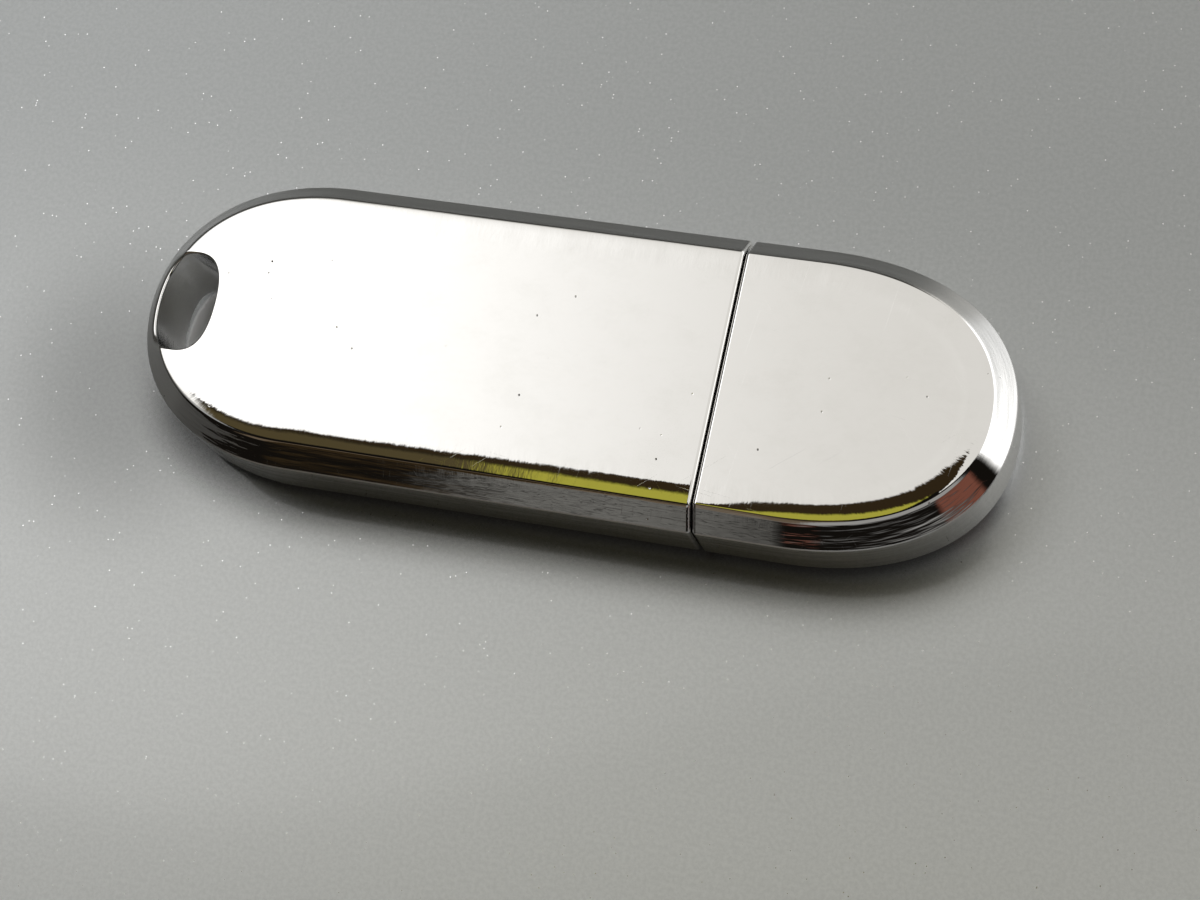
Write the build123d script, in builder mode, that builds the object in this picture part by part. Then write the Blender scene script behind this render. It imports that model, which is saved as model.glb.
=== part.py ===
from build123d import *
import os

# Capped USB flash drive, millimetres. X runs from the key-ring end to the cap's nose,
# Y across the width, Z up. The origin is under the middle of the drive, on its underside.

# --- driving dimensions ---------------------------------------------------------------
overall_length = 58.8
overall_width = 20.0
thickness = 7.4
cap_length = 18.9
seam_gap = 0.12            # open joint line between the body and the cap
bevel_inset = 1.5          # how far each bevel comes in from the outline
bevel_height = 1.7
wall = 0.75                # zinc casting
tail_length = 12.2         # rounded end with the key-ring hole
nose_length = 13.6         # rounded end of the cap
tail_fullness = 0.59       # Bezier handle share: 0.552 is an ellipse, 1 is a square corner
nose_fullness = 0.62
edge_break = 0.15          # softened mouth edges of both castings

keyring_centre = 3.05      # from the tip of the tail
keyring_half_x = 2.1
keyring_half_y = 3.42
keyring_fullness = 0.7
tail_web = 2.4             # solid metal between the key-ring hole and the hollow

plug_width = 12.0          # USB type A plug
plug_height = 4.5
plug_reach = 12.0          # length that stands out of the drive
plug_length = 18.7
plug_sheet = 0.3

spigot = 2.0               # step of the plastic insert that the cap slides over
running_gap = 0.08         # spigot to cap casting, and plug to the cap's liner ribs
seat_gap = 0.03            # parts that are fitted once and stay
loose_gap = 0.1            # parts that only have to clear each other
cut_over = 1.0             # how far a cut runs past the face it opens

tongue_thickness = 1.9     # plastic tongue inside the plug
pin_width = 1.0
pin_thickness = 0.25
pin_sunk = 0.1             # how deep the contacts lie in the tongue's top
pin_places = {"vbus": 3.5, "data_minus": 1.0, "data_plus": -1.0, "ground": -3.5}
pin_setback = {"vbus": 1.3, "data_minus": 2.3, "data_plus": 2.3, "ground": 1.3}

board_thickness = 0.8
board_width = 14.0
board_back = -19.6
board_ledge = 0.4          # how far the case halves reach over the board's edges
board_tab = 2.3            # length of the board's front tab, inside the back of the plug
chip_standoff = 0.05
chip_height = 1.0
lead_thickness = 0.12
lead_width = 0.2
lead_pitch = 0.5

# --- derived --------------------------------------------------------------------------
tail_tip = -overall_length / 2
nose_tip = overall_length / 2
tail_start = tail_tip + tail_length
nose_start = nose_tip - nose_length
seam = nose_tip - cap_length
mouth = seam + seam_gap
mid_z = thickness / 2
bevel_slope = (bevel_inset ** 2 + bevel_height ** 2) ** 0.5

spigot_face = seam + spigot
plug_tip = spigot_face + plug_reach
plug_back = plug_tip - plug_length
plug_y = (-plug_width / 2, plug_width / 2)
plug_z = (mid_z - plug_height / 2, mid_z + plug_height / 2)
plug_inner_y = (plug_y[0] + plug_sheet, plug_y[1] - plug_sheet)
plug_inner_z = (plug_z[0] + plug_sheet, plug_z[1] - plug_sheet)

tongue_top = plug_inner_z[0] + tongue_thickness
pin_low = tongue_top - pin_sunk
board_top = pin_low
board_low = board_top - board_thickness
board_front = plug_back - loose_gap
board_tab_front = plug_back + board_tab
board_mid = (board_low + board_top) / 2

cavity_back = tail_tip + keyring_centre + keyring_half_x + tail_web

os.makedirs("parts", exist_ok=True)


def save(part, label):
    """Labels a finished piece and writes it to its own STEP file."""
    part.label = label
    export_step(part, f"parts/{label}.step")


def outline(inset, z):
    """The drive's plan outline at height z, pulled in all round by inset."""
    half = overall_width / 2 - inset
    tail = tail_length - inset
    nose = nose_length - inset
    with BuildSketch(Plane.XY.offset(z)) as plan:
        with BuildLine():
            Line((tail_start, half), (nose_start, half))
            Bezier(
                (nose_start, half),
                (nose_start + nose_fullness * nose, half),
                (nose_start + nose, nose_fullness * half),
                (nose_start + nose, 0),
            )
            Bezier(
                (tail_start, half),
                (tail_start - tail_fullness * tail, half),
                (tail_start - tail, tail_fullness * half),
                (tail_start - tail, 0),
            )
            mirror(about=Plane.XZ)
        make_face()
    return plan.sketch


def pebble(shrink):
    """The drive's bevelled outer form, with every face moved inwards by shrink."""
    end_inset = bevel_inset + shrink * (bevel_slope - bevel_inset) / bevel_height
    bevel_top = bevel_height + shrink * (bevel_slope - bevel_height) / bevel_inset
    stations = (
        (shrink, end_inset),
        (bevel_top, shrink),
        (thickness - bevel_top, shrink),
        (thickness - shrink, end_inset),
    )
    with BuildPart() as form:
        for (low_z, low_inset), (high_z, high_inset) in zip(stations, stations[1:]):
            low = outline(low_inset, low_z)
            high = outline(high_inset, high_z)
            loft([low.face(), high.face()], ruled=True)
    return form.part


def keep_between(start, end):
    """Keeps only what lies between two planes across the length."""
    with Locations(((start + end) / 2, 0, mid_z)):
        Box(end - start, overall_width * 2, thickness * 2, mode=Mode.INTERSECT)


def block(x, y, z, mode=Mode.ADD):
    """A box given by its (low, high) limits along each axis."""
    with Locations(((x[0] + x[1]) / 2, (y[0] + y[1]) / 2, (z[0] + z[1]) / 2)):
        Box(x[1] - x[0], y[1] - y[0], z[1] - z[0], mode=mode)


def keyring_hole():
    """The oval key-ring hole's outline, its rounded sides fuller than an ellipse's."""
    centre = tail_tip + keyring_centre
    with BuildSketch() as hole:
        with BuildLine():
            for side in (1, -1):
                Bezier(
                    (centre, keyring_half_y),
                    (centre + side * keyring_fullness * keyring_half_x, keyring_half_y),
                    (centre + side * keyring_half_x, keyring_fullness * keyring_half_y),
                    (centre + side * keyring_half_x, 0),
                )
            mirror(about=Plane.XZ)
        make_face()
    return hole.sketch


def grown(limits, amount):
    """(low, high) limits moved apart by amount at each end."""
    return limits[0] - amount, limits[1] + amount


# --- castings -------------------------------------------------------------------------
outer_form = pebble(0)
inner_form = pebble(wall)

with BuildPart() as body_hollow:
    add(inner_form)
    keep_between(cavity_back, seam + cut_over)

with BuildPart() as body_shell:
    add(outer_form)
    keep_between(tail_tip - cut_over, seam)
    chamfer(body_shell.faces().sort_by(Axis.X)[-1].outer_wire().edges(), edge_break)
    extrude(keyring_hole(), amount=thickness, mode=Mode.SUBTRACT)
    add(body_hollow.part, mode=Mode.SUBTRACT)
save(body_shell.part, "body_shell")

with BuildPart() as cap_hollow:
    add(inner_form)
    keep_between(mouth - cut_over, nose_tip)

with BuildPart() as cap_shell:
    add(outer_form)
    keep_between(mouth, nose_tip + cut_over)
    chamfer(cap_shell.faces().sort_by(Axis.X)[0].outer_wire().edges(), edge_break)
    add(cap_hollow.part, mode=Mode.SUBTRACT)
save(cap_shell.part, "cap_shell")


# --- plastic inside the castings ------------------------------------------------------
case_back = cavity_back + seat_gap
case_front_wall = 3.0                  # the wall that the plug passes through
case_wall_back = spigot_face - case_front_wall
case_pocket = board_width / 2 - board_ledge
board_slot_half = board_width / 2 + seat_gap
peg_radius = 0.45
peg_height = 0.8
peg_places = [(x, y) for x in (-16.5, -5.5, 5.5) for y in (-8.1, 8.1)]

with BuildPart() as case_block:
    add(pebble(wall + running_gap))
    keep_between(case_back, spigot_face)
    block(
        (board_back - loose_gap, case_wall_back),
        (-case_pocket, case_pocket),
        grown(plug_z, seat_gap),
        mode=Mode.SUBTRACT,
    )
    block(
        (board_back - loose_gap, board_front + loose_gap),
        (-board_slot_half, board_slot_half),
        (board_low - seat_gap, board_top + seat_gap),
        mode=Mode.SUBTRACT,
    )
    block(
        (case_wall_back - cut_over, spigot_face + cut_over),
        grown(plug_y, seat_gap),
        grown(plug_z, seat_gap),
        mode=Mode.SUBTRACT,
    )

with BuildPart() as inner_case_lower:
    add(case_block.part)
    split(bisect_by=Plane.XY.offset(board_mid), keep=Keep.BOTTOM)
    with BuildSketch(Plane.XY.offset(board_mid)):
        with Locations(*peg_places):
            Circle(peg_radius)
    extrude(amount=peg_height)
save(inner_case_lower.part, "inner_case_lower")

with BuildPart() as inner_case_upper:
    add(case_block.part)
    split(bisect_by=Plane.XY.offset(board_mid), keep=Keep.TOP)
    with BuildSketch(Plane.XY.offset(board_mid)):
        with Locations(*peg_places):
            Circle(peg_radius + seat_gap)
    extrude(amount=peg_height + loose_gap, mode=Mode.SUBTRACT)
save(inner_case_upper.part, "inner_case_upper")

liner_mouth = spigot_face + 0.15
liner_length = 9.75
liner_lead_in = 0.35                   # chamfer that guides the plug into the socket
socket_gap = 0.2
rib_width = 0.6
rib_root = 0.1                         # how far each rib is rooted in the liner's wall
rib_places = (-4.0, 0.0, 4.0)
rib_back = liner_mouth + 1.5

with BuildPart() as cap_liner:
    add(pebble(wall + seat_gap))
    keep_between(liner_mouth, liner_mouth + liner_length)
    block(
        (liner_mouth - cut_over, liner_mouth + liner_length + cut_over),
        grown(plug_y, socket_gap),
        grown(plug_z, socket_gap),
        mode=Mode.SUBTRACT,
    )
    mouth_face = cap_liner.faces().sort_by(Axis.X)[0]
    chamfer(mouth_face.inner_wires()[0].edges(), liner_lead_in)
    for y in rib_places:
        rib_y = (y - rib_width / 2, y + rib_width / 2)
        rib_x = (rib_back, liner_mouth + liner_length)
        rib_far = socket_gap + rib_root
        block(rib_x, rib_y, (plug_z[0] - rib_far, plug_z[0] - running_gap))
        block(rib_x, rib_y, (plug_z[1] + running_gap, plug_z[1] + rib_far))
save(cap_liner.part, "cap_liner")

# --- USB plug -------------------------------------------------------------------------
corner_radius = 0.5
latch_window = (2.0, 2.5)              # along and across the plug
latch_setback = 5.16                   # from the plug's tip to the windows' front edges
latch_spacing = 4.5
ear_length = 2.2
ear_height = 1.8
ear_z = (board_mid - ear_height / 2, board_mid + ear_height / 2)
fold_seam = 0.06

with BuildPart() as plug_hollow:
    block((plug_back - cut_over, plug_tip + cut_over), plug_inner_y, plug_inner_z)
    fillet(plug_hollow.edges().filter_by(Axis.X), corner_radius - plug_sheet)

with BuildPart() as usb_shell:
    block((plug_back, plug_tip), plug_y, plug_z)
    fillet(usb_shell.edges().filter_by(Axis.X), corner_radius)
    add(plug_hollow.part, mode=Mode.SUBTRACT)
    with BuildSketch(Plane.XY):
        with Locations((plug_tip - latch_setback - latch_window[0] / 2, 0)):
            with GridLocations(0, latch_spacing, 1, 2):
                Rectangle(*latch_window)
    extrude(amount=thickness, mode=Mode.SUBTRACT)
    block(
        (plug_back - cut_over, plug_tip + cut_over),
        (-fold_seam / 2, fold_seam / 2),
        (plug_z[0] - cut_over, plug_z[0] + plug_sheet * 2),
        mode=Mode.SUBTRACT,
    )
    for ear_y in ((plug_y[0], plug_inner_y[0]), (plug_inner_y[1], plug_y[1])):
        block((plug_back - ear_length, plug_back), ear_y, ear_z)
save(usb_shell.part, "usb_shell")

insulator_back = board_tab_front + loose_gap
tongue_setback = 0.6                   # of the back block and of the tongue's tip
tongue_back = spigot_face - tongue_setback
tongue_front = plug_tip - tongue_setback
tongue_lead_in = 0.3
insulator_round = 0.2

with BuildPart() as usb_insulator:
    block(
        (insulator_back, tongue_back),
        grown(plug_inner_y, -seat_gap),
        grown(plug_inner_z, -seat_gap),
    )
    block(
        (tongue_back, tongue_front),
        grown(plug_inner_y, -seat_gap),
        (plug_inner_z[0] + seat_gap, tongue_top),
    )
    tongue_end = usb_insulator.faces().sort_by(Axis.X)[-1]
    chamfer(tongue_end.edges().filter_by(Axis.Y), tongue_lead_in)
    fillet(usb_insulator.edges().filter_by(Axis.X).group_by(Axis.Z)[0], insulator_round)
    fillet(usb_insulator.edges().filter_by(Axis.X).group_by(Axis.Z)[-1], insulator_round)
    for name, y in pin_places.items():
        block(
            (insulator_back - cut_over, plug_tip - pin_setback[name] + seat_gap),
            grown((y - pin_width / 2, y + pin_width / 2), seat_gap),
            grown((pin_low, pin_low + pin_thickness), seat_gap),
            mode=Mode.SUBTRACT,
        )
save(usb_insulator.part, "usb_insulator")

pin_tail = plug_back + 0.2
pin_lead_in = 0.15
for name, y in pin_places.items():
    with BuildPart() as contact:
        block(
            (pin_tail, plug_tip - pin_setback[name]),
            (y - pin_width / 2, y + pin_width / 2),
            (pin_low, pin_low + pin_thickness),
        )
        contact_tip = contact.faces().sort_by(Axis.X)[-1]
        chamfer(contact_tip.edges().sort_by(Axis.Z)[-1], pin_lead_in)
    save(contact.part, f"contact_{name}")

# --- circuit board --------------------------------------------------------------------
notch_outer = plug_y[1] + loose_gap
notch_back = plug_back - ear_length - loose_gap
board_tab_y = grown(plug_inner_y, -loose_gap)
board_corner = 0.6

with BuildPart() as circuit_board:
    board_z = (board_low, board_top)
    block((board_back, board_front), (-board_width / 2, board_width / 2), board_z)
    block((board_front, board_tab_front), board_tab_y, board_z)
    for notch_y in ((-notch_outer, board_tab_y[0]), (board_tab_y[1], notch_outer)):
        block((notch_back, board_front), notch_y, board_z, mode=Mode.SUBTRACT)
    fillet(circuit_board.edges().filter_by(Axis.Z).group_by(Axis.X)[0], board_corner)
save(circuit_board.part, "circuit_board")


# --- chips and small parts on the board -----------------------------------------------
chip_chamfer = 0.1
dimple_radius = 0.45
dimple_depth = 0.06
lead_foot = 0.5
lead_neck = 0.25           # straight stretch of a lead beside its chip


def face_at(side, height):
    """Z at a height above the board's top (side 1) or below its underside (side -1)."""
    face = board_top if side > 0 else board_low
    return face + side * height


def chip(centre, length, width, side, pin_one):
    """A moulded chip body, with a dimple at its first pin, pin_one from its centre."""
    x, y = centre
    far = face_at(side, chip_standoff + chip_height)
    z = sorted((face_at(side, chip_standoff), far))
    with BuildPart() as body:
        block((x - length / 2, x + length / 2), (y - width / 2, y + width / 2), z)
        far_face = body.faces().sort_by(Axis.Z, reverse=side < 0)[-1]
        chamfer(far_face.edges(), chip_chamfer)
        with BuildSketch(Plane.XY.offset(far)):
            with Locations((x + pin_one[0], y + pin_one[1])):
                Circle(dimple_radius)
        extrude(amount=-side * dimple_depth, mode=Mode.SUBTRACT)
    return body.part


def gull_wing(start, tip, side):
    """One gull-wing lead along +X, from start inside the chip's edge line to its foot's tip."""
    bend = start + lead_neck
    knee = tip - lead_foot
    shoulder = chip_standoff + chip_height / 2
    half = lead_thickness / 2
    profile = (
        (start, shoulder + half),
        (bend + half, shoulder + half),
        (knee + half, lead_thickness),
        (tip, lead_thickness),
        (tip, 0),
        (knee - half, 0),
        (bend - half, shoulder - half),
        (start, shoulder - half),
    )
    with BuildPart() as lead:
        with BuildSketch(Plane.XZ):
            with BuildLine():
                Polyline(*[(x, face_at(side, height)) for x, height in profile], close=True)
            make_face()
        extrude(amount=lead_width / 2, both=True)
    return lead.part


def lead_frame(centre, rows, side):
    """All leads of a chip: rows of (direction in degrees, start, tip, count, pitch)."""
    with BuildPart() as frame:
        for direction, start, tip, count, pitch in rows:
            lead = gull_wing(start, tip, side)
            with Locations(Location((*centre, 0), (0, 0, direction))):
                with GridLocations(0, pitch, 1, count):
                    add(lead)
    return frame.part


top_side = 1
underside = -1

memory_centre = (-8.3, 0)
memory_size = (18.4, 12.0)
memory_span = 20.0         # over the tips of the leads
memory_rows = [(turn, memory_size[0] / 2, memory_span / 2, 24, lead_pitch) for turn in (0, 180)]
save(chip(memory_centre, *memory_size, top_side, (-8.2, -5.0)), "memory_chip")
save(lead_frame(memory_centre, memory_rows, top_side), "memory_leads")

controller_centre = (-5.5, 0)
controller_size = (7.0, 7.0)
controller_span = 9.0
controller_rows = [
    (turn, controller_size[0] / 2, controller_span / 2, 12, lead_pitch) for turn in (0, 90, 180, 270)
]
save(chip(controller_centre, *controller_size, underside, (-2.6, -2.6)), "controller_chip")
save(lead_frame(controller_centre, controller_rows, underside), "controller_leads")

regulator_centre = (2.2, 3.9)
regulator_size = (2.9, 1.6)
regulator_tip = 1.5
regulator_pitch = 0.95
regulator_rows = [
    (90, regulator_size[1] / 2, regulator_tip, 3, regulator_pitch),
    (270, regulator_size[1] / 2, regulator_tip, 2, regulator_pitch * 2),
]
save(chip(regulator_centre, *regulator_size, underside, (-0.8, -0.2)), "regulator_chip")
save(lead_frame(regulator_centre, regulator_rows, underside), "regulator_leads")

crystal_x = -14.2
crystal_half = (1.6, 2.5)
crystal_base_height = 0.6
crystal_lid_height = 0.4
crystal_lid_step = 0.25
crystal_corner = 0.3
crystal_lid_edge = 0.12

with BuildPart() as crystal_base:
    block(
        (crystal_x - crystal_half[0], crystal_x + crystal_half[0]),
        (-crystal_half[1], crystal_half[1]),
        (board_low - crystal_base_height, board_low),
    )
    fillet(crystal_base.edges().filter_by(Axis.Z), crystal_corner)
save(crystal_base.part, "crystal_base")

with BuildPart() as crystal_lid:
    lid_low = board_low - crystal_base_height - crystal_lid_height
    lid_half = (crystal_half[0] - crystal_lid_step, crystal_half[1] - crystal_lid_step)
    block(
        (crystal_x - lid_half[0], crystal_x + lid_half[0]),
        (-lid_half[1], lid_half[1]),
        (lid_low, lid_low + crystal_lid_height),
    )
    fillet(crystal_lid.edges().filter_by(Axis.Z), crystal_corner)
    fillet(crystal_lid.faces().sort_by(Axis.Z)[0].edges(), crystal_lid_edge)
save(crystal_lid.part, "crystal_lid")

# Two-terminal parts: name, centre, turn in degrees, side, (length, width, height).
small_size = (1.6, 0.8, 0.8)
resistor_size = (1.6, 0.8, 0.45)
bulk_size = (2.0, 1.25, 0.9)
small_parts = (
    ("capacitor_bulk", (3.3, -3.4), 90, top_side, bulk_size),
    ("ferrite_bead", (3.3, 3.5), 90, top_side, small_size),
    ("resistor_data_minus", (3.5, 1.0), 0, top_side, resistor_size),
    ("resistor_data_plus", (3.5, -1.0), 0, top_side, resistor_size),
    ("capacitor_crystal_1", (-14.2, 4.6), 0, underside, small_size),
    ("capacitor_crystal_2", (-14.2, -4.6), 0, underside, small_size),
    ("capacitor_controller_1", (-9.0, 5.6), 0, underside, small_size),
    ("capacitor_controller_2", (-2.0, -5.6), 0, underside, small_size),
    ("capacitor_regulator", (2.2, 0.6), 0, underside, small_size),
    ("resistor_pull_up", (-9.0, -5.6), 0, underside, resistor_size),
    ("resistor_reset", (2.2, -3.0), 90, underside, resistor_size),
)
terminal_share = 0.22      # of the length, at each end
terminal_step = 0.03       # how far the end caps stand proud of the body

for label, centre, turn, side, (length, width, height) in small_parts:
    with BuildPart() as two_terminal:
        with BuildSketch(Plane.XY.offset(face_at(side, 0))):
            with Locations(Location((*centre, 0), (0, 0, turn))):
                Rectangle(length, width)
        extrude(amount=side * height)
        with BuildSketch(Plane.XY.offset(face_at(side, height))):
            with Locations(Location((*centre, 0), (0, 0, turn))):
                Rectangle(length * (1 - 2 * terminal_share), width)
        extrude(amount=-side * terminal_step, mode=Mode.SUBTRACT)
    save(two_terminal.part, label)

# Solder at the contacts' tails and at the plug's two ears.
solder_length = 0.6
solder_height = 0.2
solder_margin = 0.05       # how far the solder stays in from a contact's sides
solder_chamfer = 0.12
ear_solder_width = 0.5
ear_solder_ends = (0.5, 0.4)           # in from the ear's tip and from the plug's back

with BuildPart() as solder_joints:
    for y in pin_places.values():
        block(
            (pin_tail - solder_length, pin_tail),
            grown((y - pin_width / 2, y + pin_width / 2), -solder_margin),
            (board_top, board_top + solder_height),
        )
    for ear_y in (plug_y[0] - ear_solder_width, plug_y[1]):
        block(
            (plug_back - ear_length + ear_solder_ends[0], plug_back - ear_solder_ends[1]),
            (ear_y, ear_y + ear_solder_width),
            (board_top, board_top + solder_height * 2),
        )
    chamfer(solder_joints.faces().filter_by(Axis.Z).group_by(Axis.Z)[-1].edges(), solder_chamfer)
save(solder_joints.part, "solder_joints")
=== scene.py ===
import math

import bpy
import numpy as np
from mathutils import Matrix, Vector
from mathutils.geometry import delaunay_2d_cdt
from mathutils.kdtree import KDTree


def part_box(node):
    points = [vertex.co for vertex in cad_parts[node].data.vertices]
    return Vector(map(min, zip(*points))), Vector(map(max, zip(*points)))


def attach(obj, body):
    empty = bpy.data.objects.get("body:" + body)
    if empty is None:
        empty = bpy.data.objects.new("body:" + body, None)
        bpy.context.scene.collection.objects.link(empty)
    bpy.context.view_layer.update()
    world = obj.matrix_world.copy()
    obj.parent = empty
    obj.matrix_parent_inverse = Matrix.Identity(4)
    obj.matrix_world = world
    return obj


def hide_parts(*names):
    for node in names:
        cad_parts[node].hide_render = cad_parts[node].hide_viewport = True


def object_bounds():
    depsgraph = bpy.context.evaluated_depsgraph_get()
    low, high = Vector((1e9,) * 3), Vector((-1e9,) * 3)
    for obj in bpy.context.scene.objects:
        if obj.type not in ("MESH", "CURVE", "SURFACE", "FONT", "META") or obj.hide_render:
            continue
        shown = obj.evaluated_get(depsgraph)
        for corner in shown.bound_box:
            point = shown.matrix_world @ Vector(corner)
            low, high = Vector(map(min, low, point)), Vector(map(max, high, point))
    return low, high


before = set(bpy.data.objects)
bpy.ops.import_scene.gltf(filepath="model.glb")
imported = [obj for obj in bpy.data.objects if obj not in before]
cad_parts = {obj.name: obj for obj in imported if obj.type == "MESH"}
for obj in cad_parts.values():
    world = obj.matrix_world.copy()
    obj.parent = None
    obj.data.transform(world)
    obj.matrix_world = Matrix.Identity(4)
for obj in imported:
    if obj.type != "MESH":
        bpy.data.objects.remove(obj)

cad_low, cad_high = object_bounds()

# --- sizes, in metres -------------------------------------------------------------------
mm = 0.001
body_low, body_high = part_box("body_shell")
cap_low, cap_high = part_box("cap_shell")
case_low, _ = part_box("inner_case_lower")

half_width = body_high.y
thickness = body_high.z - body_low.z
mid_z = (body_high.z + body_low.z) / 2

bevel_inset = 1.5 * mm
bevel_height = 1.7 * mm
bevel_slope = math.hypot(bevel_inset, bevel_height)
wall = 0.75 * mm
edge_radius = 0.3 * mm            # the rounded edge between a bevel and the side wall
crease_softness = 0.05 * mm       # the crease between a bevel and the flat
mouth_radius = 0.26 * mm          # the rounded mouth edges, outside
mouth_inner_radius = 0.12 * mm
seat_gap = 0.03 * mm              # between the body's hollow and the plastic case

keyring_centre = 3.05 * mm        # from the tip
keyring_half_x = 2.1 * mm
keyring_half_y = 3.42 * mm
keyring_fullness = 0.7
rim_radius = 0.14 * mm            # of the key-ring hole, on the flat
lip_radius = 0.5 * mm             # of the same rim on the narrow lip beside the tip

side_start = 0.2 * mm             # inset at which the wall's grid hands over to the flats'
weld_distance = 0.0012 * mm
bevel_tilt = math.atan2(bevel_height, bevel_inset)


class Shell:
    """One casting of the drive. Its own length axis runs from its mouth (0) to its tip."""

    def __init__(self, name, body, mouth_x, tip_x, end_length, fullness, roll, roll_fade):
        self.name = name
        self.body = body
        self.mouth_x = mouth_x
        self.direction = 1 if tip_x > mouth_x else -1
        self.length = abs(tip_x - mouth_x)
        self.end_length = end_length
        self.straight = self.length - end_length
        self.fullness = fullness
        self.roll = roll                # (how far the flat drops at the crease, over what width)
        self.roll_fade = roll_fade      # distance from the mouth over which the roll comes in
        self.hole = None
        self.hollow_length = None       # None: the hollow follows the end's curve to its tip

    def place(self, points):
        """Turns points along the shell's own axis into points in the drive's frame."""
        placed = np.array(points, float)
        placed[..., 0] = self.mouth_x + self.direction * placed[..., 0]
        return placed

    def turn(self, directions):
        turned = np.array(directions, float)
        turned[..., 0] *= self.direction
        return turned


body = Shell(
    "chrome_body", "body", body_high.x, body_low.x, 12.2 * mm, 0.59, (0.13 * mm, 2.4 * mm), 0
)
body.hole = body.length - keyring_centre
body.hollow_length = body_high.x - (case_low.x - seat_gap)
cap = Shell(
    "chrome_cap", "cap", cap_low.x, cap_high.x, 13.6 * mm, 0.62, (0.09 * mm, 1.6 * mm), 7 * mm
)


# --- outline curves -----------------------------------------------------------------------
def rounded_end(fullness, t):
    """Unit quarter of a rounded end: from (0, 1), on its side, to (1, 0), at its tip."""
    along = 3 * (1 - t) ** 2 * t * fullness + 3 * (1 - t) * t ** 2 + t ** 3
    across = (1 - t) ** 3 + 3 * (1 - t) ** 2 * t + 3 * (1 - t) * t ** 2 * fullness
    return along, across


def rounded_end_slope(fullness, t):
    along = 3 * (1 - t) ** 2 * fullness + 6 * (1 - t) * t * (1 - fullness)
    across = 6 * (1 - t) * t * (fullness - 1) - 3 * t ** 2 * fullness
    return along, across


def end_inset(along, across, length, half, fullness):
    """How far in from a rounded end's outline each point lies (negative outside it)."""
    table_t = np.linspace(0, 1, 4001)
    table_along, table_across = rounded_end(fullness, table_t)
    table_angle = np.arctan2(table_along, table_across)
    table_radius = np.hypot(table_along, table_across)
    low = np.full(np.shape(along), -3.0 * mm)
    high = np.full(np.shape(along), min(length, half) * 0.9999)
    for _ in range(44):
        middle = (low + high) / 2
        scaled_along = along / (length - middle)
        scaled_across = np.abs(across) / (half - middle)
        radius = np.interp(np.arctan2(scaled_along, scaled_across), table_angle, table_radius)
        outside = np.hypot(scaled_along, scaled_across) > radius
        high = np.where(outside, middle, high)
        low = np.where(outside, low, middle)
    return (low + high) / 2


def shell_inset(shell, a, y):
    """How far in from the shell's outline a point of the plan lies."""
    rounded = end_inset(
        np.maximum(a - shell.straight, 0), y, shell.end_length, half_width, shell.fullness
    )
    return np.where(a > shell.straight, rounded, half_width - np.abs(y))


def hole_growth(shell, a, y):
    """How far outside the key-ring hole's outline a point of the plan lies."""
    return -end_inset(
        np.abs(a - shell.hole), y, keyring_half_x, keyring_half_y, keyring_fullness
    )


# --- the outer form ------------------------------------------------------------------------
def smooth_step(x):
    x = np.clip(x, 0, 1)
    return x * x * (3 - 2 * x)


def shrunk(shrink):
    """Inset of the crease, and height of the bevel's outer edge, once all faces move in."""
    crease = bevel_inset + shrink * (bevel_slope - bevel_inset) / bevel_height
    edge_z = thickness - bevel_height - shrink * (bevel_slope - bevel_height) / bevel_inset
    return crease, edge_z


def roll_depth(shell, a):
    """How far the polished flat has dropped at the crease, at a distance from the mouth."""
    if not shell.roll_fade:
        return np.full(np.shape(a), shell.roll[0])
    return shell.roll[0] * (0.12 + 0.88 * smooth_step(a / shell.roll_fade))


def top_height(shell, inset, a, shrink=0.0, rolled=True):
    """Height of the bevel, crease and flat over a point of the plan."""
    crease, edge_z = shrunk(shrink)
    bevel = edge_z + (inset - shrink) * bevel_height / bevel_inset
    flat = thickness - shrink
    if rolled:
        edge = np.clip(1 - (inset - crease) / shell.roll[1], 0, 1.2)
        flat = flat - roll_depth(shell, a) * edge ** 2.4
    gap = bevel - flat
    return (bevel + flat - np.sqrt(gap ** 2 + crease_softness ** 2)) / 2


def rim_drop(shell, a, y):
    """How far the key-ring hole's rounded rim lies below the flat."""
    growth = hole_growth(shell, a, y)
    radius = rim_radius_at(shell, a, y)
    depth = np.clip(1 - growth / radius, 0, 1)
    return radius * (1 - np.sqrt(np.maximum(1 - depth ** 2, 0)))


def rim_radius_at(shell, a, y):
    """The rim is sharper towards the flat and well rounded on the lip beside the tip."""
    toward_tip = (a - shell.hole) / np.maximum(np.hypot(a - shell.hole, y), 1e-9)
    return rim_radius + (lip_radius - rim_radius) * smooth_step(toward_tip * 1.6)


def surface_height(shell, a, y):
    height = top_height(shell, shell_inset(shell, a, y), a)
    if shell.hole is not None:
        height = height - rim_drop(shell, a, y)
    return height


# --- patches: (points, normals, faces) ------------------------------------------------------
def grid_faces(rows, columns):
    index = np.arange(rows * columns).reshape(rows, columns)
    return [
        (index[r, c], index[r, c + 1], index[r + 1, c + 1], index[r + 1, c])
        for r in range(rows - 1)
        for c in range(columns - 1)
    ]


def grid_patch(points, normals):
    """A patch from a rows by columns array of points and one of normals."""
    rows, columns = points.shape[:2]
    return points.reshape(-1, 3), normals.reshape(-1, 3), grid_faces(rows, columns)


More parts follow.
